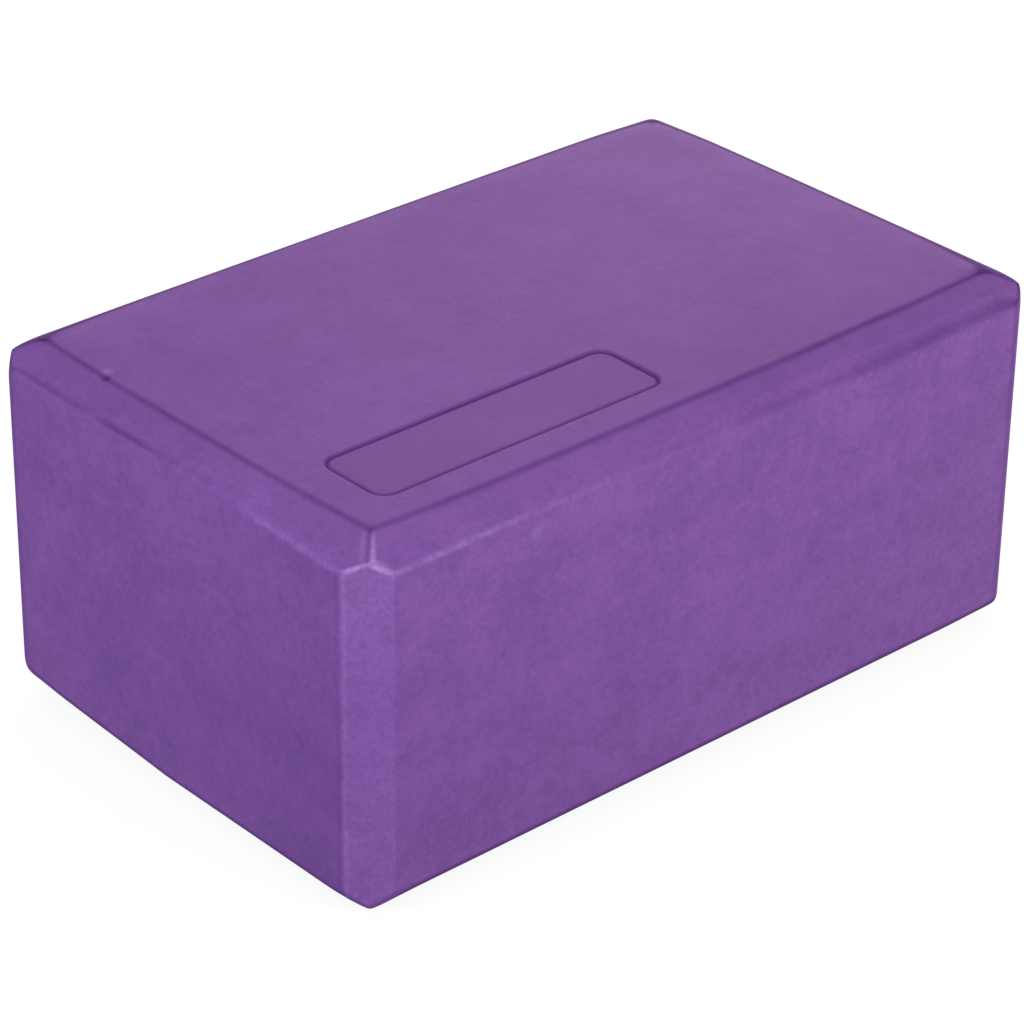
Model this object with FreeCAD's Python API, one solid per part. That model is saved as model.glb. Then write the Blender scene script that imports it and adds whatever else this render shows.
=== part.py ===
"""Foam yoga block: two sheets of closed-cell foam glued face to face and bevelled along every edge.

Millimetres. +X runs along the length, +Y across the width and +Z up.
The origin is the middle of the face that the block rests on.
"""
import FreeCAD, Part
import os

Vector = FreeCAD.Vector

# Block in plan
block_length = 225.0
block_width = 145.0

# Layers, from the bottom up
lower_sheet_thickness = 49.9
glue_thickness = 0.2
upper_sheet_thickness = 49.9

# Bevels: each edge is cut back further in plan than down the sides
bevel_in_plan = 9.0
bevel_down_side = 6.0

# Blank panel pressed into the top, with a deeper line round its border
panel_length = 90.0
panel_width = 24.0
panel_corner_radius = 5.0
panel_from_end = 21.0
panel_from_side = 19.0
panel_depth = 0.4
border_line_width = 1.2
border_line_depth = 0.9

# How far a cutting shape stands past the face that it cuts
overrun = 2.0

glue_bottom = lower_sheet_thickness
glue_top = glue_bottom + glue_thickness
block_height = glue_top + upper_sheet_thickness


def bevelled_outline(width, low, high, cut_across, cut_up):
    """Corners in order of a rectangle centred across zero, with its four corners cut off."""
    outer = width / 2
    inner = outer - cut_across
    return [
        (-inner, low),
        (inner, low),
        (outer, low + cut_up),
        (outer, high - cut_up),
        (inner, high),
        (-inner, high),
        (-outer, high - cut_up),
        (-outer, low + cut_up),
    ]


def prism(corners, travel):
    """Solid that a flat outline sweeps along a straight line."""
    outline = Part.makePolygon(corners + corners[:1])
    return Part.Face(outline).extrude(travel)


def bevelled_block():
    """The whole block: what its plan, its side view and its end view leave standing."""
    front = -block_width / 2
    left = -block_length / 2
    plan = bevelled_outline(block_length, front, -front, bevel_in_plan, bevel_in_plan)
    side = bevelled_outline(block_length, 0, block_height, bevel_in_plan, bevel_down_side)
    end = bevelled_outline(block_width, 0, block_height, bevel_in_plan, bevel_down_side)
    from_above = prism([Vector(x, y, 0) for x, y in plan], Vector(0, 0, block_height))
    from_side = prism([Vector(x, front, z) for x, z in side], Vector(0, block_width, 0))
    from_end = prism([Vector(left, y, z) for y, z in end], Vector(block_length, 0, 0))
    return from_above.common(from_side).common(from_end)


def layer(bottom, thickness):
    """Slice of the block between two heights."""
    slice_length = block_length + 2 * overrun
    slice_width = block_width + 2 * overrun
    corner = Vector(-slice_length / 2, -slice_width / 2, bottom)
    return bevelled_block().common(Part.makeBox(slice_length, slice_width, thickness, corner))


def panel_stamp(margin, depth):
    """Round-cornered stamp that reaches into the top, smaller than the panel all round by a margin."""
    corner = Vector(
        -block_length / 2 + panel_from_end + margin,
        -block_width / 2 + panel_from_side + margin,
        block_height - depth,
    )
    stamp = Part.makeBox(panel_length - 2 * margin, panel_width - 2 * margin, depth + overrun, corner)
    uprights = [edge for edge in stamp.Edges if is_upright(edge)]
    return stamp.makeFillet(panel_corner_radius - margin, uprights)


def is_upright(edge):
    """True for an edge whose two ends lie one above the other."""
    start, end = edge.Vertexes
    return start.X == end.X and start.Y == end.Y


def lower_foam_slab():
    """Sheet that the block rests on."""
    return layer(0, lower_sheet_thickness)


def glue_film():
    """Adhesive between the sheets, flush with their sides."""
    return layer(glue_bottom, glue_thickness)


def upper_foam_slab():
    """Top sheet, with the panel's floor and its border line pressed into it."""
    border_line = panel_stamp(0, border_line_depth).cut(panel_stamp(border_line_width, border_line_depth))
    panel_floor = panel_stamp(border_line_width, panel_depth)
    return layer(glue_top, upper_sheet_thickness).cut(border_line).cut(panel_floor)


pieces = {
    "lower_foam_slab": lower_foam_slab(),
    "glue_film": glue_film(),
    "upper_foam_slab": upper_foam_slab(),
}

os.makedirs("parts", exist_ok=True)
for name, shape in pieces.items():
    solid = shape.Solids[0]
    solid.exportStep(os.path.join("parts", name + ".step"))
    print(name, "solids", len(shape.Solids), "volume", round(solid.Volume, 1), "valid", solid.isValid())
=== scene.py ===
import math

import bpy
from mathutils import Matrix, Vector


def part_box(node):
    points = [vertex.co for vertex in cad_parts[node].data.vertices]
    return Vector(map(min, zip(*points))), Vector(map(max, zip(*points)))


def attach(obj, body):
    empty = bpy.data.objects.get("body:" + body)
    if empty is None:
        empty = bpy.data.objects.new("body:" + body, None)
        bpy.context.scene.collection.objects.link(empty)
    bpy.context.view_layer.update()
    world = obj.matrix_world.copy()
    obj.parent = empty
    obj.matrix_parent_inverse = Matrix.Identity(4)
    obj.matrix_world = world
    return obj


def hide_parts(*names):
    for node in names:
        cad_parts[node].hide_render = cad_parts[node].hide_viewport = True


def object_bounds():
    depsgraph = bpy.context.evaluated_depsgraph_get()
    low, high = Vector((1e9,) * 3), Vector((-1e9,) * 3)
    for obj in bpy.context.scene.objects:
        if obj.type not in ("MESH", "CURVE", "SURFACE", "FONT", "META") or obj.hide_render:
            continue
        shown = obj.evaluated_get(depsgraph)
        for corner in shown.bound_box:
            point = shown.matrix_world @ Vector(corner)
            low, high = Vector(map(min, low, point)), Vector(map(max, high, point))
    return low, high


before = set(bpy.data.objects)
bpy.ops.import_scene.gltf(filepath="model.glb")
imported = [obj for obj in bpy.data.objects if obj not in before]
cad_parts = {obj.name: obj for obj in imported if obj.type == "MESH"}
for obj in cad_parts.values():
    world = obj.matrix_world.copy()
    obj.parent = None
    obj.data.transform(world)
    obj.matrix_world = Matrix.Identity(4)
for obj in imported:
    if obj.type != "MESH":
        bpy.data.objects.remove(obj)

cad_low, cad_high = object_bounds()

# Lower foam slab
# The half that the block rests on: a sheet of firm closed-cell foam, dyed purple right through.
# It is sawn to size, and its base edges and upright corners are trimmed back to flat bevels.
block_size = cad_high - cad_low
bevel_cut = Vector((0.009, 0.009, 0.006))
bevel_zone = 0.0075
fine_step = 0.00035
plain_step = 0.0025

# How the bevels were trimmed by hand and the lines pressed: lengths, slopes along an edge, and softness.
trimming = {
    "near_drop": 0.0074,
    "short_side_extra": 0.0008,
    "short_side_slope": 0.05,
    "short_slope_length": 0.045,
    "short_side_loss": 0.0017,
    "short_end_gain": 0.0005,
    "long_side_slope": 0.02,
    "long_slope_length": 0.055,
    "long_side_loss": 0.0009,
    "far_extra_drop": 0.0012,
    "left_base_slope": 0.065,
    "left_base_length": 0.072,
    "left_base_rise": 0.0008,
    "near_base_rise": 0.0017,
    "front_widening": 0.0005,
    "corner_widening": 0.0014,
    "right_end_widening": 0.0007,
    "far_narrowing": 0.0006,
    "mitre_softness": 1.2,
    "near_sharpening": 0.35,
    "crease_softness": 0.3,
    "worn_softening": 2.5,
    "crease_depth": 0.00022,
    "crease_inner_width": 0.0009,
    "crease_outer_width": 0.0016,
    "far_crease_extra": 0.0002,
    "side_line_width": 0.0009,
    "side_line_spread": 0.0012,
    "base_line_width": 0.0012,
    "base_line_below": 0.0007,
    "upright_line_width": 0.0016,
    "strip_edge_width": 0.0007,
    "face_edge_width": 0.0011,
    "surface_wave": 0.00025,
}


def ruled(*marks):
    """Places of grid lines; each mark is a place and the spacing from there to the next mark."""
    places = []
    for (start, spacing), (stop, _) in zip(marks, marks[1:]):
        cells = max(1, round((stop - start) / spacing))
        places += [start + (stop - start) * cell / cells for cell in range(cells)]
    return places + [marks[-1][0]]


def bevel_middle(axis):
    """How far from the block's middle the middle line of a bevel lies, along one axis."""
    return block_size[axis] / 2 - bevel_cut[axis] / 2


def across_block(axis, *inner_marks):
    """Grid lines right across the block, close together near both bevels and as marked between them."""
    edge = bevel_middle(axis)
    return ruled(
        (-edge, fine_step),
        (bevel_zone - edge, plain_step),
        *inner_marks,
        (edge - bevel_zone, fine_step),
        (edge, fine_step),
    )


def foam_cage(name, lines, flat_ends):
    """Box skin on the given grid lines along x, y and z, with its seam ends each closed by one face."""
    corners = {}
    faces = []
    last = [len(places) - 1 for places in lines]
    for axis in range(3):
        u, v = (axis + 1) % 3, (axis + 2) % 3
        for end in (0, last[axis]):
            rings = [
                [(i, j), (i + 1, j), (i + 1, j + 1), (i, j + 1)]
                for i in range(last[u])
                for j in range(last[v])
            ]
            if axis == 2 and ("top" if end else "bottom") in flat_ends:
                there = [(i, 0) for i in range(last[u])] + [(last[u], j) for j in range(last[v])]
                rings = [there + [(last[u] - i, last[v] - j) for i, j in there]]
            for ring in rings:
                face = []
                for i, j in ring:
                    spot = [end, end, end]
                    spot[u], spot[v] = i, j
                    face.append(corners.setdefault(tuple(spot), len(corners)))
                faces.append(face if end else face[::-1])
    mesh = bpy.data.meshes.new(name)
    mesh.from_pydata([[places[i] for places, i in zip(lines, spot)] for spot in corners], [], faces)
    return mesh


class Wire:
    """A socket of a node tree: sums on it add Math nodes, and node() adds any other node."""

    def __init__(self, tree, socket=None):
        self.tree = tree
        self.socket = socket

    def node(self, kind, settings=None, sockets=None, output=0):
        """Wire from a new node of that kind, with its settings made first and then its sockets fed."""
        made = self.tree.nodes.new(kind)
        for name, value in (settings or {}).items():
            setattr(made, name, value)
        for key, value in (sockets or {}).items():
            if isinstance(value, Wire):
                self.tree.links.new(value.socket, made.inputs[key])
            else:
                made.inputs[key].default_value = value
        return Wire(self.tree, made.outputs[output]) if made.outputs else None

    def __getitem__(self, output):
        return Wire(self.tree, self.socket.node.outputs[output])

    def parts(self):
        """The three numbers of a place or size."""
        split = self.node("ShaderNodeSeparateXYZ", sockets={0: self})
        return split["X"], split["Y"], split["Z"]

    def math(self, operation, *others):
        """Wire from a Math node that works on this wire and the others, in that order."""
        return self.node("ShaderNodeMath", {"operation": operation}, dict(enumerate((self, *others))))

    def __add__(self, other):
        return self.math("ADD", other)

    def __radd__(self, other):
        return self.math("ADD", other)

    def __sub__(self, other):
        return self.math("SUBTRACT", other)

    def __rsub__(self, other):
        return self.math("MULTIPLY_ADD", -1.0, other)

    def __mul__(self, other):
        return self.math("MULTIPLY", other)

    def __rmul__(self, other):
        return self.math("MULTIPLY", other)

    def __truediv__(self, other):
        return self.math("DIVIDE", other)

    def __lt__(self, other):
        return self.math("LESS_THAN", other)

    def __gt__(self, other):
        return self.math("GREATER_THAN", other)

    def __abs__(self):
        return self.math("ABSOLUTE")

    def least(self, other, softness=0.0):
        """The smaller of the two, blended where they come within the softness of each other."""
        return self.math("SMOOTH_MIN", other, softness)

    def most(self, other):
        """The larger of the two."""
        return self.math("MAXIMUM", other)

    def fade(self, start, stop):
        """0 up to start and 1 from stop on, eased between; start may be the larger."""
        return self.node(
            "ShaderNodeMapRange",
            {"interpolation_type": "SMOOTHSTEP"},
            {"Value": self, "From Min": start, "From Max": stop},
        )

    def steps(self, share, *changes):
        """A share and its changes, each of which fades in from one value of this wire to another."""
        for change, start, stop in changes:
            share = share + change * self.fade(start, stop)
        return share

    def ridge(self, half_width):
        """1 where the value is 0, falling smoothly to 0 at the half width."""
        share = self / half_width
        inside = (1 - share * share).most(0)
        return inside * inside

    def cloud(self, size, detail=2.0):
        """Soft noise from 0 to 1 with blotches of that size, on the place that this wire carries."""
        return self.node(
            "ShaderNodeTexNoise",
            sockets={"Vector": self, "Scale": 1 / size, "Detail": detail, "Roughness": 0.5},
        )


def foam_shaping():
    """Rule for a foam piece: pushes a cage out to the bevels, presses lines into it and marks its wear."""
    tree = bpy.data.node_groups.new("foam_shaping", "GeometryNodeTree")
    inputs = [
        ("Geometry", "Geometry"),
        ("Foam", "Material"),
        ("Block Size", "Vector"),
        ("Bevel Cut", "Vector"),
        ("Panel Middle", "Vector"),
        ("Panel Size", "Vector"),
        ("Panel Corner Radius", "Float"),
        ("Panel Depth", "Float"),
        ("Border Line Width", "Float"),
        ("Border Line Depth", "Float"),
    ]
    inputs += [(name.replace("_", " ").title(), "Float") for name in trimming]
    for name, kind in inputs:
        tree.interface.new_socket(name=name, in_out="INPUT", socket_type="NodeSocket" + kind)
    tree.interface.new_socket(name="Geometry", in_out="OUTPUT", socket_type="NodeSocketGeometry")

    given = Wire(tree).node("NodeGroupInput")
    here = given.node("GeometryNodeInputPosition")
    x, y, z = here.parts()
    length, width, height = given["Block Size"].parts()
    cut_x, cut_y, cut_z = given["Bevel Cut"].parts()

    # Places on the block: its upper half, its corners in plan, and its long and short sides.
    up = z - height / 2
    at_top = up > 0
    at_base = 1 - at_top
    from_near_corner = x + length / 2 + y + width / 2
    from_left_corner = x + length / 2 + width / 2 - y
    from_far_corner = (length + width) / 2 - x - y
    from_any_corner = (length + width) / 2 - abs(x) - abs(y)
    near = from_near_corner.fade(0.085, 0.030)
    along_long_side = (x - y + (length - width) / 2).fade(-0.012, 0.012)
    along_short_side = 1 - along_long_side
    left_side = x.fade(-0.085, -0.105) * along_short_side
    front_top = at_top * y.fade(0.068, 0.058) * x.fade(0.108, 0.098)

    # The bevel round the top was trimmed by hand: it widens towards the corners, and away from the near
    # corner it reaches less far down the sides. At the base the near corner is fuller and the left one worn.
    short_slope = given["Short Side Slope"] * from_near_corner.least(given["Short Slope Length"])
    short_drop = given["Near Drop"] + given["Short Side Extra"] - short_slope
    short_drop = short_drop - given["Short Side Loss"] * from_near_corner.fade(0.044, 0.054)
    short_drop = short_drop + given["Short End Gain"] * from_near_corner.fade(0.060, 0.090)
    long_slope = given["Long Side Slope"] * from_near_corner.least(given["Long Slope Length"])
    long_drop = given["Near Drop"] - long_slope
    long_drop = long_drop - given["Long Side Loss"] * from_near_corner.fade(0.155, 0.215)
    trimmed = short_drop + (long_drop - short_drop) * along_long_side
    base_wear = given["Left Base Slope"] * (given["Left Base Length"] - from_left_corner).most(0)
    base_wear = base_wear - given["Left Base Rise"] * left_side
    base_wear = base_wear - given["Near Base Rise"] * from_near_corner.fade(0.0145, 0.0085)
    far_drop = cut_z + given["Far Extra Drop"] * at_top
    drop = far_drop + (trimmed - far_drop) * front_top + base_wear * at_base
    widening = given["Front Widening"] + given["Corner Widening"] * from_any_corner.fade(0.055, 0.012)
    widening = widening + given["Right End Widening"] * along_long_side * x.fade(0.030, 0.065)
    far_widening = given["Corner Widening"] * from_far_corner.fade(0.040, 0.012) - given["Far Narrowing"]
    inset = cut_x + at_top * (far_widening + (widening - far_widening) * front_top)

    # The cage edges run along the middle of the standard bevel, and rise or sink to where this one passes.
    edge_depth = drop * (1 - cut_x / 2 / inset)
    lift = (cut_z / 2 - edge_depth) * 2 * up / (height - cut_z)

    # Reach is 0 on a cage edge and 1 where the bevel meets the flat face.
    touching = 0.001
    reach_x = (length - cut_x - 2 * abs(x)) / cut_x
    reach_y = (width - cut_y - 2 * abs(y)) / cut_y
    reach_z = (height - cut_z - 2 * abs(up)) / cut_z
    on_x = reach_x < touching
    on_y = reach_y < touching
    on_z = reach_z < touching
    on_top = on_z * at_top
    down = reach_z * cut_z / 2 / (drop - edge_depth)

    # The mitres are sharper at the near corner, and the creases softer at the worn corners away from it.
    top_spared = 0.7
    mitre = given["Mitre Softness"] * (1 - near * (given["Near Sharpening"] * (1 + at_top)))
    worn_corner = reach_x.most(reach_y).fade(6.0, 1.0) * (1 - near) * (1 - top_spared * on_z)
    crease = given["Crease Softness"] * (1 + given["Worn Softening"] * worn_corner)
    over_x = reach_y.least(down, mitre)
    over_y = reach_x.least(down, mitre)
    over_z = reach_x.least(reach_y, mitre) * cut_x / 2 / (inset - cut_x / 2)

    # Creases: each line is 1 along its middle and 0 past its half width. Inward and below are how far a
    # point lies past the bevel, on a flat face and on a side.
    shoulder_spread = 2.2
    inward = (over_z - 1) * (inset - cut_x / 2)
    far_edge = (reach_x < reach_y) * (x > 0) + (reach_y < reach_x) * (y > 0)
    inner = given["Crease Inner Width"] + given["Far Crease Extra"] * far_edge
    outer = given["Crease Outer Width"]
    top_line = inward.ridge(inner + (outer - inner) * (inward < 0)) * on_z
    shoulder = inward.ridge(shoulder_spread * outer) * (inward < 0) * on_z
    below = (down - 1) * (drop - edge_depth)
    clear_x, clear_y, clear_below = (reach.fade(0.8, 1.3) for reach in (reach_x, reach_y, down))
    spread = given["Side Line Spread"] * along_long_side * from_near_corner.fade(0.05, 0.20)
    low_line = below.ridge(given["Side Line Width"] + spread)
    side_x = low_line * clear_y * on_x
    side_y = low_line * clear_x * on_y
    past_strip = (on_x * clear_y).most(on_y * clear_x)
    base_line = (below - given["Base Line Below"]).ridge(given["Base Line Width"]) * past_strip * at_base

    def upright_line(reach, cut, place, line_width):
        """Line down an upright corner, at a place in reach across its strip."""
        return ((reach - place) * cut / 2).ridge(given[line_width]) * clear_below

    upright_place, strip_edge_place, face_edge_place = 1.28, 0.86, 1.24
    upright_x = upright_line(reach_y, cut_y, upright_place, "Upright Line Width") * on_x
    upright_y = upright_line(reach_x, cut_x, upright_place, "Upright Line Width") * on_y
    strip_edge = upright_line(reach_y, cut_y, strip_edge_place, "Strip Edge Width") * on_x
    face_edge = upright_line(reach_y, cut_y, face_edge_place, "Face Edge Width") * on_x

    # Mitres, where two bevels meet at a corner: arms and rims on the sides, lines and flanks on the top.
    # Shifts and widths are in reach.
    left_arm_width, right_arm_width, right_arm_shift = 0.36, 0.46, 0.05
    left_arm_fill = 0.45 + 0.55 * over_x.fade(0.0, 0.3)
    arm_x = (reach_y - down).ridge(left_arm_width) * over_x.fade(1.05, 0.6) * left_arm_fill * on_x
    arm_y = (reach_x - down - right_arm_shift).ridge(right_arm_width) * over_y.fade(1.05, 0.7) * on_y
    arm = arm_x.most(arm_y)
    tip_shift, tip_width = 0.50, 0.45
    tip_x = (reach_y - down + tip_shift).ridge(tip_width) * reach_y.fade(1.2, 0.9) * on_x
    tip_y = (reach_x - down + tip_shift).ridge(tip_width) * reach_x.fade(1.2, 0.9) * on_y
    tip_rim = tip_x.most(tip_y) * near * at_base
    lean = reach_x - reach_y
    opening = (1 - over_z).most(0)
    long_flank_shift = 0.20 + 0.16 * opening
    long_flank_width = 0.14 + 0.24 * opening
    long_flank = (lean - long_flank_shift).ridge(long_flank_width) * over_z.fade(1.0, 0.7) * on_z
    low_flank_shift, low_flank_width = 0.36, 0.40
    low_flank = (reach_x - down - low_flank_shift).ridge(low_flank_width) * down.fade(0.75, 0.10) * on_y
    short_flank_shift, short_flank_width = 0.46, 0.36
    short_flank = (lean + short_flank_shift).ridge(short_flank_width) * over_z.fade(1.0, 0.5) * on_z
    on_bevel = over_z.fade(1.2, 0.9)
    corner_line_width = 0.68 - 0.40 * near
    corner_line = lean.ridge(corner_line_width) * on_bevel * over_z.fade(-0.1, 0.3) * on_z
    end_mitre_shift, end_mitre_width = 0.12, 0.30
    end_corner = (x * y < 0) * at_top
    end_lean = lean * x.math("SIGN")
    end_mitre = (end_lean - end_mitre_shift).ridge(end_mitre_width) * on_bevel * on_z * end_corner

    # Bands: the bevels round the top and the base, and the upright strips at the corners.
    band_end = (1.15, 0.85)
    strip_end = (1.08, 0.92)
    past_mitre = (-0.1, 0.25)
    band_x = down.fade(*band_end) * (reach_y - down).fade(*past_mitre) * on_x
    band_y = down.fade(*band_end) * (reach_x - down).fade(*past_mitre) * on_y
    band_z = over_z.fade(*band_end) * on_z
    band = band_x.most(band_y).most(band_z)
    strip_x = reach_y.fade(*strip_end) * (down - reach_y).fade(*past_mitre) * on_x
    strip_y = reach_x.fade(*strip_end) * (down - reach_x).fade(*past_mitre) * on_y
    strip = strip_x.most(strip_y)
    turned_away = (on_z * far_edge).most(on_x * (x > 0)).most(on_y * (y > 0))

    # Blank panel: distance from its rounded outline, negative inside.
    border_spread = 0.75
    panel_x, panel_y, _ = given["Panel Middle"].parts()
    panel_length, panel_width, _ = given["Panel Size"].parts()
    radius = given["Panel Corner Radius"]
    border = given["Border Line Width"]
    past_x = abs(x - panel_x) - panel_length / 2 + radius
    past_y = abs(y - panel_y) - panel_width / 2 + radius
    corner_x, corner_y = past_x.most(0), past_y.most(0)
    outside = (corner_x * corner_x + corner_y * corner_y).math("SQRT")
    from_panel = outside + past_x.most(past_y).math("MINIMUM", 0) - radius
    from_border = from_panel + border / 2
    border_line = from_border.ridge(border * border_spread) * on_top
    panel_floor = from_border.fade(border / 2, border / -2) * on_top

    # How far each cage face is pushed out along its own axis. The waves die away towards the cage edges.
    wave_length = 0.045
    wave_zone = (0, 2)
    wave = given["Surface Wave"] * here.cloud(wave_length)
    groove = given["Crease Depth"]
    border_press = given["Border Line Depth"] - given["Panel Depth"]
    panel_press = given["Panel Depth"] * panel_floor + border_press * border_line
    push_x = cut_x / 2 * over_x.least(1, crease) - wave * over_x.fade(*wave_zone) - groove * side_x
    push_y = cut_y / 2 * over_y.least(1, crease) - wave * over_y.fade(*wave_zone) - groove * side_y
    push_z = edge_depth * over_z.least(1, crease) - wave * over_z.fade(*wave_zone) - groove * top_line
    push_z = push_z - panel_press
    push = given.node(
        "ShaderNodeCombineXYZ",
        sockets={
            "X": push_x * on_x * x.math("SIGN"),
            "Y": push_y * on_y * y.math("SIGN"),
            "Z": lift + push_z * on_z * up.math("SIGN"),
        },
    )

    # Pressed lines are dark, as shares of the deep colour: unevenly in the creases, and in patches under
    # the top bevels, with one bare gap on the left. The creases and the panel's border are shallow grooves
    # with painted shade laid in them. The base line, the far upright corners, the foot of the near strip and
    # the end mitres are painted shade where those edges turn away from the light.
    patch_size = 0.028
    gap_place, gap_width = 0.1068, 0.005
    uneven = here.cloud(patch_size).fade(0.30, 0.60)
    gap = (from_near_corner - gap_place).ridge(gap_width)
    left_patches = ((0.20, 0.054, 0.062), (0.42, 0.074, 0.090), (-0.10, 0.104, 0.112))
    right_patches = ((0.14, 0.078, 0.098), (0.22, 0.116, 0.136), (0.14, 0.165, 0.190))
    left_marks = from_near_corner.steps(0.0, *left_patches) * (1 - gap)
    right_marks = from_near_corner.steps(0.0, *right_patches)
    marks = at_top * (left_marks * side_x + right_marks * side_y)
    marks_dark = 0.6 + 0.5 * uneven
    # Painted shade in the crease grooves, and a little beside them on the bevels.
    crease_shade_dark = 0.37 + 0.20 * uneven + 0.15 * from_near_corner.fade(0.10, 0.16)
    shoulder_shade_dark = 0.05 * from_near_corner.fade(0.02, 0.20)
    # Painted shade along the base line and down the far upright corners, where the edges turn from the
    # light.
    base_shade_dark = 0.54 + 0.14 * along_long_side
    upright_shade_dark = 0.28 * (1 - near)
    face_edge_dark = 0.12 * near
    # Painted shade at the foot of the near strip and in the end mitres.
    tip_shade_dark, corner_dark, end_shade_dark, border_shade_dark = 0.45, 0.30, 0.40, 0.85
    pressed_and_shaded = (
        top_line * crease_shade_dark
        + shoulder * shoulder_shade_dark
        + marks * marks_dark
        + base_line * base_shade_dark
        + (upright_x + upright_y + arm) * upright_shade_dark
        + tip_rim * tip_shade_dark
        + face_edge * face_edge_dark
        + corner_line * corner_dark
        + (end_mitre + arm * end_corner) * end_shade_dark
        # Painted shade in the panel's border groove.
        + border_line * border_shade_dark
    )

    # Hands rub the foam pale, as shares of the pale colour: most at the near corner, where the creases
    # flake. Painted light joins the same shares: the near upright strip is painted lighter where it faces
    # the light, the far rims of the top get a little painted highlight and its far part a painted sheen, and
    # the far ends of the sides are painted a little lighter where more light falls.
    flake_size = 0.005
    flaking = 0.6 + 0.8 * here.cloud(flake_size).fade(0.35, 0.65)
    left_worn = 0.20 * from_near_corner.fade(0.046, 0.043)
    right_worn = 0.27 * from_near_corner.fade(0.078, 0.040)
    worn = (side_x * left_worn + side_y * right_worn) * flaking
    long_flank_pale = 0.40 + 0.35 * opening
    low_flank_pale, short_flank_pale = 0.50, 0.24
    flank = long_flank * long_flank_pale + low_flank * low_flank_pale + short_flank * short_flank_pale
    # Painted light: the near upright strip is lighter, as it faces the light.
    strip_painted_light = z.steps(0.02, (0.21, 0.055, 0.100), (0.10, 0.050, 0.015))
    strip_edge_pale, left_band_pale = 0.17, 0.05
    left_band = along_short_side * band * left_band_pale
    near_top = at_top * (worn + arm.most(flank) + left_band)
    near_wear_and_light = strip_edge * strip_edge_pale + strip * strip_painted_light + near_top
    # Painted highlight along the far rims of the top, and painted sheen over its far part.
    far_rim = on_top * far_edge * inward.fade(0.0006, 0.0018) * inward.fade(0.007, 0.002)
    far_top = on_top * from_far_corner.fade(0.130, 0.030)
    # Painted light: the far ends of the long and short sides are lighter, where more light falls.
    right_height = 0.5 + 0.5 * z.fade(0.070, 0.030)
    right_end = on_y * (y < 0) * (x.fade(0.055, 0.105) + x.fade(0.096, 0.108)) * right_height
    left_end = on_x * (x < 0) * y.fade(0.020, 0.060) * z.fade(0.080, 0.055)
    far_rim_highlight, far_top_sheen, right_end_light, left_end_light = 0.10, 0.035, 0.05, 0.035
    rubbed_and_lit = (
        near * near_wear_and_light
        + far_rim * far_rim_highlight
        + far_top * far_top_sheen
        + right_end * right_end_light
        + left_end * left_end_light
    )

    # Darker shares of the deep colour: the bevels, a band under the left low line by the near corner, the
    # lower middle of the long side, a strip along the front of the top and the panel's floor. Painted shade
    # darkens the sides low down by the near corner, the far top bevels, which turn away from the light, and
    # the top just inside the front creases. Faces ironed flat by the press have less grain.
    # Painted shade: the sides are darker low down by the near corner, where less light reaches.
    low_down = z.fade(0.088, 0.045) * (0.7 + 0.3 * z.fade(0.0, 0.035))
    long_side_shade = 0.8
    shaded_faces = on_x * (1 - strip_x) + long_side_shade * on_y * (1 - strip_y)
    low_corner_shade = from_near_corner.fade(0.11, 0.015) * low_down * shaded_faces
    under_line = on_x * below.fade(0.0, 0.0012) * below.fade(0.016, 0.004)
    under_line = under_line * from_near_corner.fade(0.047, 0.043)
    # Darker along the front of the top, away from the near corner.
    front_top_darkening = on_top * (y < 0) * reach_y.fade(9.0, 4.0) * from_near_corner.fade(0.10, 0.16)
    side_middle = on_y * (y < 0) * x.fade(-0.090, -0.030) * x.fade(0.080, 0.035) * z.fade(0.090, 0.070)
    # Painted shade on the top just inside the front creases.
    inner_shade = on_top * (inward > 0) * inward.fade(0.016, 0.001) * (1 - far_edge)
    long_band_dull = from_near_corner.steps(0.0, (0.09, 0.02, 0.05), (-0.08, 0.13, 0.17))
    band_dull = 0.03 + long_band_dull * along_long_side + 0.03 * along_short_side
    far_band_shade_dark, inner_shade_dark, side_dull, front_top_dull = 0.22, 0.07, 0.05, 0.13
    low_corner_shade_dark, under_line_dull, panel_dull = 0.192, 0.08, 0.19
    dulled_and_shaded = (
        band * band_dull
        # Painted shade on the top bevels of the far edges, which turn away from the light.
        + band * at_top * turned_away * far_band_shade_dark
        + inner_shade * inner_shade_dark
        + side_middle * side_dull
        + low_corner_shade * low_corner_shade_dark
        + under_line * under_line_dull
        + panel_floor * panel_dull
        + front_top_darkening * front_top_dull
    )
    face_ironed, panel_ironed = 0.5, 0.5
    ironed = on_z * face_ironed + panel_floor * panel_ironed

    # The marks are stored, the cage is pushed out, and it is smoothed except where it bends sharply.
    sharp_bend = math.radians(50)
    marked = given["Geometry"]
    for name, value in (("pressed_and_shaded", pressed_and_shaded), ("rubbed_and_lit", rubbed_and_lit), ("dulled_and_shaded", dulled_and_shaded), ("ironed", ironed)):
        marked = given.node(
            "GeometryNodeStoreNamedAttribute",
            {"data_type": "FLOAT", "domain": "POINT"},
            {"Geometry": marked, "Name": name, "Value": value},
        )
    moved = given.node("GeometryNodeSetPosition", sockets={"Geometry": marked, "Offset": push})
    smooth = given.node(
        "GeometryNodeSetShadeSmooth",
        {"domain": "FACE"},
        {"Geometry": moved, "Shade Smooth": True},
    )
    bend = given.node("GeometryNodeInputMeshEdgeAngle", output="Unsigned Angle")
    creased = given.node(
        "GeometryNodeSetShadeSmooth",
        {"domain": "EDGE"},
        {"Geometry": smooth, "Selection": bend > sharp_bend, "Shade Smooth": False},
    )
    whole = given.node("GeometryNodeRealizeInstances", sockets={"Geometry": creased})
    finished = given.node("GeometryNodeSetMaterial", sockets={"Geometry": whole, "Material": given["Foam"]})
    given.node("NodeGroupOutput", sockets={"Geometry": finished})
    return tree


foam_rule = foam_shaping()


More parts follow.
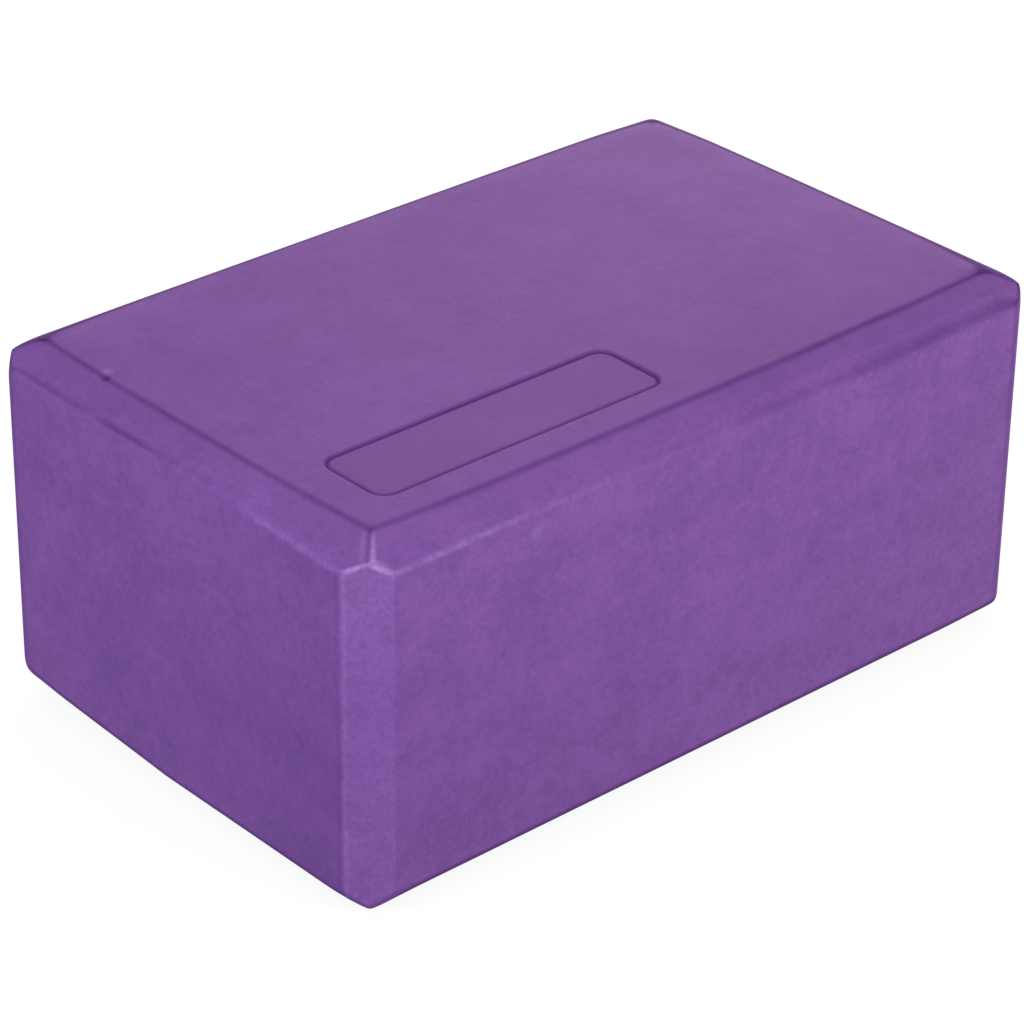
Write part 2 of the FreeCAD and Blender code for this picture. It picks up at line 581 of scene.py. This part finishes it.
def formed_foam(name, cage, **sizes):
    """Object made by running a cage through the shaping rule, left as a plain mesh."""
    sizes = {"block_size": block_size, "bevel_cut": bevel_cut, **trimming, **sizes}
    piece = bpy.data.objects.new(name, cage)
    bpy.context.scene.collection.objects.link(piece)
    rule = piece.modifiers.new("shaping", "NODES")
    rule.node_group = foam_rule
    for item in foam_rule.interface.items_tree:
        value = sizes.get(item.name.lower().replace(" ", "_"))
        if item.in_out == "INPUT" and value is not None:
            rule[item.identifier] = value
    depsgraph = bpy.context.evaluated_depsgraph_get()
    mesh = bpy.data.meshes.new_from_object(
        piece.evaluated_get(depsgraph), preserve_all_data_layers=True, depsgraph=depsgraph
    )
    piece.modifiers.clear()
    piece.data = mesh
    mesh.name = name
    bpy.data.meshes.remove(cage)
    return piece


def mixed(wire, share, first, second):
    """Colour between two colours or wires, by a share from 0 to 1."""
    return wire.node(
        "ShaderNodeMix",
        {"data_type": "RGBA", "clamp_factor": True},
        {0: share, 6: first, 7: second},
        output=2,
    )


def purple_foam(name, relief_depth):
    """Closed-cell foam: clouded purple, pebbled by its cells, dark where pressed and in painted shade, pale
    where rubbed and in painted light.
    """
    violet = (0.170, 0.067, 0.286, 1.0)
    plum = (0.222, 0.091, 0.350, 1.0)
    deep = (0.079, 0.020, 0.146, 1.0)
    pale = (0.420, 0.235, 0.590, 1.0)
    material = bpy.data.materials.new(name)
    material.use_nodes = True
    tree = material.node_tree
    tree.nodes.clear()
    place = Wire(tree).node("ShaderNodeTexCoord", output="Object")
    pressed_and_shaded, rubbed_and_lit, dulled_and_shaded, ironed = (
        place.node("ShaderNodeAttribute", {"attribute_name": wear}, output="Fac")
        for wear in ("pressed_and_shaded", "rubbed_and_lit", "dulled_and_shaded", "ironed")
    )

    # Blotches of several sizes, long smears along the sides, fine grain and the cells themselves.
    smear_stretch = (0.15, 0.15, 1.0)
    cell_size = 0.0008
    along = place.node("ShaderNodeVectorMath", {"operation": "MULTIPLY"}, {0: place, 1: smear_stretch})
    clouds = place.cloud(0.034, 3.0) - 0.5
    drift = place.cloud(0.011, 2.0) - 0.5
    smears = along.cloud(0.009, 2.0) - 0.5
    flecks = place.cloud(0.0034, 2.0) - 0.5
    grain = place.cloud(0.0013, 2.0) - 0.5
    specks = place.cloud(0.0006, 1.0) - 0.5
    cells = place.node(
        "ShaderNodeTexVoronoi",
        sockets={"Vector": place, "Scale": 1 / cell_size},
        output="Distance",
    )
    ironed_loss = 0.6
    cloud_share, drift_share, smear_share = 1.1, 1.0, 0.7
    fleck_share, grain_share, speck_share = 1.1, 1.6, 0.9
    fine = drift_share * drift + smear_share * smears + fleck_share * flecks
    fine = fine + grain_share * grain + speck_share * specks
    mottle = cloud_share * clouds + (1 - ironed_loss * ironed) * fine

    def mark_at(middle, radius):
        """Round mark on the surface: 1 in its middle and 0 from its radius on."""
        gone = place.node(
            "ShaderNodeVectorMath",
            {"operation": "DISTANCE"},
            {0: place, 1: middle},
            output="Value",
        )
        return gone.fade(radius, 0.0)

    # Small handling marks: a nick on the left top crease with its raised lip, and a scuff on the long side.
    nick = mark_at((-0.1032, 0.0350, 0.0998), 0.0018)
    nick_lip = mark_at((-0.1008, 0.0374, 0.0999), 0.0022)
    scuff = mark_at((-0.0611, -0.0724, 0.0882), 0.0034)
    nick_dark, lip_pale, scuff_pale = 0.8, 0.34, 0.20
    rubbed_pale = 0.7
    colour = mixed(place, 0.5 + mottle, violet, plum)
    # Darker shares and painted shade, mixed towards the deep colour.
    colour = mixed(place, dulled_and_shaded, colour, deep)
    # Rubbed wear and painted light, mixed towards the pale colour.
    pale_share = rubbed_and_lit * (rubbed_pale + grain) + (lip_pale * nick_lip + scuff_pale * scuff)
    colour = mixed(place, pale_share, colour, pale)
    # Pressed lines and painted shade, mixed towards the deep colour.
    colour = mixed(place, pressed_and_shaded + nick_dark * nick, colour, deep)

    # Matt all over, a little smoother where ironed; the grain, the cells and the nick stand in relief.
    matt = 0.76
    grain_matt, rubbed_matt, pressed_matt, ironed_smooth = 0.16, 0.05, 0.20, 0.08
    roughness = matt + grain_matt * grain + rubbed_matt * rubbed_and_lit + pressed_matt * pressed_and_shaded
    roughness = roughness - ironed_smooth * ironed
    grain_height, cell_height, drift_height, nick_depth = 0.8, 0.35, 1.2, 2.0
    relief = grain_height * grain + cell_height * cells + drift_height * drift - nick_depth * nick
    bump = place.node(
        "ShaderNodeBump",
        sockets={"Height": relief, "Strength": 0.35, "Distance": relief_depth},
    )
    surface = place.node(
        "ShaderNodeBsdfPrincipled",
        sockets={
            "Base Color": colour,
            "Roughness": roughness,
            "Normal": bump,
            "Specular IOR Level": 0.12,
        },
    )
    place.node("ShaderNodeOutputMaterial", sockets={"Surface": surface})
    return material


slab_relief = 0.00025
slab_foam = purple_foam("purple_foam", slab_relief)
slab_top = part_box("lower_foam_slab")[1].z
slab_sides_bottom = block_size.z / 2 - bevel_middle(2)
lower_foam_slab = formed_foam(
    "foam_slab_lower",
    foam_cage(
        "lower_cage",
        [
            across_block(0),
            across_block(1),
            ruled(
                (slab_sides_bottom, fine_step),
                (slab_sides_bottom + bevel_zone, plain_step),
                (slab_top, plain_step),
            ),
        ],
        {"top"},
    ),
    foam=slab_foam,
)
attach(lower_foam_slab, "root")
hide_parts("lower_foam_slab")

# Glue film
# Contact adhesive brushed over both sheets and pressed together; it sets to a thin flexible skin.
# It is tinted like the foam and trimmed flush with it, so the joint hardly shows from outside.
film_relief = 0.0001
film_low, film_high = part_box("glue_film")
film_glue = purple_foam("tinted_glue", film_relief)
glue_film = formed_foam(
    "glue_film_between",
    foam_cage(
        "film_cage",
        [across_block(0), across_block(1), [film_low.z, film_high.z]],
        {"top", "bottom"},
    ),
    foam=film_glue,
)
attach(glue_film, "root")
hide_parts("glue_film")

# Upper foam slab
# The half that is leaned on: the same foam, its top edges and upright corners trimmed to flat bevels.
# A hot stamp presses a blank round-cornered panel into its top, with a deeper line round the border.
panel_size = Vector((0.090, 0.024, 0.0))
panel_from_end = 0.021
panel_from_side = 0.019
panel_corner_radius = 0.005
panel_margin = 0.0015
stamp_step = 0.0004
panel_middle = Vector((
    cad_low.x + panel_from_end + panel_size.x / 2,
    cad_low.y + panel_from_side + panel_size.y / 2,
    0.0,
))
panel_left, panel_right = panel_middle.x - panel_size.x / 2, panel_middle.x + panel_size.x / 2
panel_front, panel_back = panel_middle.y - panel_size.y / 2, panel_middle.y + panel_size.y / 2
slab_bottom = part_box("upper_foam_slab")[0].z
slab_sides_top = block_size.z / 2 + bevel_middle(2)
upper_foam_slab = formed_foam(
    "foam_slab_upper",
    foam_cage(
        "upper_cage",
        [
            across_block(
                0,
                (panel_left - panel_margin, stamp_step),
                (panel_left + panel_corner_radius + panel_margin, plain_step),
                (panel_right - panel_corner_radius - panel_margin, stamp_step),
                (panel_right + panel_margin, plain_step),
            ),
            across_block(
                1,
                (panel_front - panel_margin, stamp_step),
                (panel_back + panel_margin, plain_step),
            ),
            ruled(
                (slab_bottom, plain_step),
                (slab_sides_top - bevel_zone, fine_step),
                (slab_sides_top, fine_step),
            ),
        ],
        {"bottom"},
    ),
    panel_middle=panel_middle,
    panel_size=panel_size,
    panel_corner_radius=panel_corner_radius,
    panel_depth=0.0004,
    border_line_width=0.0012,
    border_line_depth=0.0009,
    foam=slab_foam,
)
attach(upper_foam_slab, "root")
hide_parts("upper_foam_slab")

# Floor
# A pale studio sweep, seen as plain white with only a soft shadow where the block stands on it.
# To the foam it is a mid grey, so that it throws little light up the sides.
floor_half = 4.0
floor_gap = 0.0001
floor_glow = (0.88, 0.88, 0.88, 1)
floor_shade = (0.17, 0.17, 0.17, 1)
floor_grey = (0.3, 0.3, 0.3, 1)
floor_mesh = bpy.data.meshes.new("studio_floor")
floor_mesh.from_pydata(
    [
        (-floor_half, -floor_half, -floor_gap),
        (floor_half, -floor_half, -floor_gap),
        (floor_half, floor_half, -floor_gap),
        (-floor_half, floor_half, -floor_gap),
    ],
    [],
    [(0, 1, 2, 3)],
)
floor = bpy.data.objects.new("studio_floor", floor_mesh)
bpy.context.scene.collection.objects.link(floor)


def seen_directly(wire):
    """1 for rays from the camera and for mirror or glass rays, 0 for the light that bounces about."""
    ray = wire.node("ShaderNodeLightPath")
    seen = ray["Is Camera Ray"] + ray["Is Glossy Ray"] + ray["Is Transmission Ray"]
    return seen.math("MINIMUM", 1)


floor_paint = bpy.data.materials.new("pale_floor")
floor_paint.use_nodes = True
floor_paint.node_tree.nodes.clear()
paint = Wire(floor_paint.node_tree)
glow = paint.node("ShaderNodeEmission", sockets={"Color": floor_glow, "Strength": 1.0})
shaded = paint.node("ShaderNodeBsdfDiffuse", sockets={"Color": floor_shade})
seen_floor = paint.node("ShaderNodeAddShader", sockets={0: glow, 1: shaded})
grey_matt = paint.node("ShaderNodeBsdfDiffuse", sockets={"Color": floor_grey})
floor_look = paint.node(
    "ShaderNodeMixShader",
    sockets={0: seen_directly(paint), 1: grey_matt, 2: seen_floor},
)
paint.node("ShaderNodeOutputMaterial", sockets={"Surface": floor_look})
floor_mesh.materials.append(floor_paint)

# Studio light
# A white tent lights the block evenly from all round; three low soft boxes fill its upright sides, and one
# behind it skims the top. They add up to a plain level, at which a colour renders about as written.
sky_white = (1, 1, 1, 1)
sky_level = 0.66
soft_box_side = 0.3


def soft_box(name, azimuth, elevation, distance, level, colour):
    """Square lamp that faces the block; level 1 lights a surface square to it as fully as a white sky."""
    lamp = bpy.data.lights.new(name, "AREA")
    lamp.shape = "SQUARE"
    lamp.size = soft_box_side
    lamp.energy = level * math.pi ** 2 * distance ** 2
    lamp.color = colour
    box = bpy.data.objects.new(name, lamp)
    turn, lift = math.radians(azimuth), math.radians(elevation)
    way = Vector((math.sin(turn) * math.cos(lift), -math.cos(turn) * math.cos(lift), math.sin(lift)))
    box.location = Vector((0, 0, block_size.z / 2)) + distance * way
    box.rotation_euler = way.to_track_quat("Z", "Y").to_euler()
    box.visible_camera = False
    bpy.context.scene.collection.objects.link(box)


soft_box("left_soft_box", azimuth=-95, elevation=15, distance=0.45, level=0.245, colour=(0.87, 0.97, 1.0))
soft_box("front_soft_box", azimuth=-42, elevation=20, distance=0.55, level=0.245, colour=(0.82, 0.85, 1.0))
soft_box("right_soft_box", azimuth=11, elevation=15, distance=0.45, level=0.425, colour=(0.90, 1.0, 0.84))
soft_box("back_soft_box", azimuth=130, elevation=18, distance=0.6, level=0.490, colour=(1.0, 0.85, 0.84))
sky = bpy.data.worlds.new("studio_sky")
sky.use_nodes = True
sky.node_tree.nodes.clear()
tent = Wire(sky.node_tree)
white = tent.node("ShaderNodeBackground", sockets={"Color": sky_white, "Strength": 1.0})
even = tent.node("ShaderNodeBackground", sockets={"Color": sky_white, "Strength": sky_level})
sky_look = tent.node("ShaderNodeMixShader", sockets={0: seen_directly(tent), 1: even, 2: white})
tent.node("ShaderNodeOutputWorld", sockets={"Surface": sky_look})
bpy.context.scene.world = sky

# Camera
# Set where the photograph was taken from, a long lens a metre from the block.
camera_aim = Vector((-0.00476, -0.00132, 0.04260))
camera_distance = 1.02394
camera_azimuth = math.radians(-42.0)
camera_elevation = math.radians(29.379)
camera_roll = math.radians(0.711)
camera_lens = bpy.data.cameras.new("photo_camera")
camera_lens.sensor_width = 36.0
camera_lens.lens = 141.482
camera_lens.clip_start = 0.01
camera = bpy.data.objects.new("photo_camera", camera_lens)
camera_way = Vector((
    math.sin(camera_azimuth) * math.cos(camera_elevation),
    -math.cos(camera_azimuth) * math.cos(camera_elevation),
    math.sin(camera_elevation),
))
camera_turn = camera_way.to_track_quat("Z", "Y").to_matrix().to_4x4()
camera_turn = camera_turn @ Matrix.Rotation(camera_roll, 4, "Z")
camera.matrix_world = Matrix.Translation(camera_aim + camera_distance * camera_way) @ camera_turn
bpy.context.scene.collection.objects.link(camera)
bpy.context.scene.camera = camera
bpy.context.scene.view_settings.view_transform = "Standard"
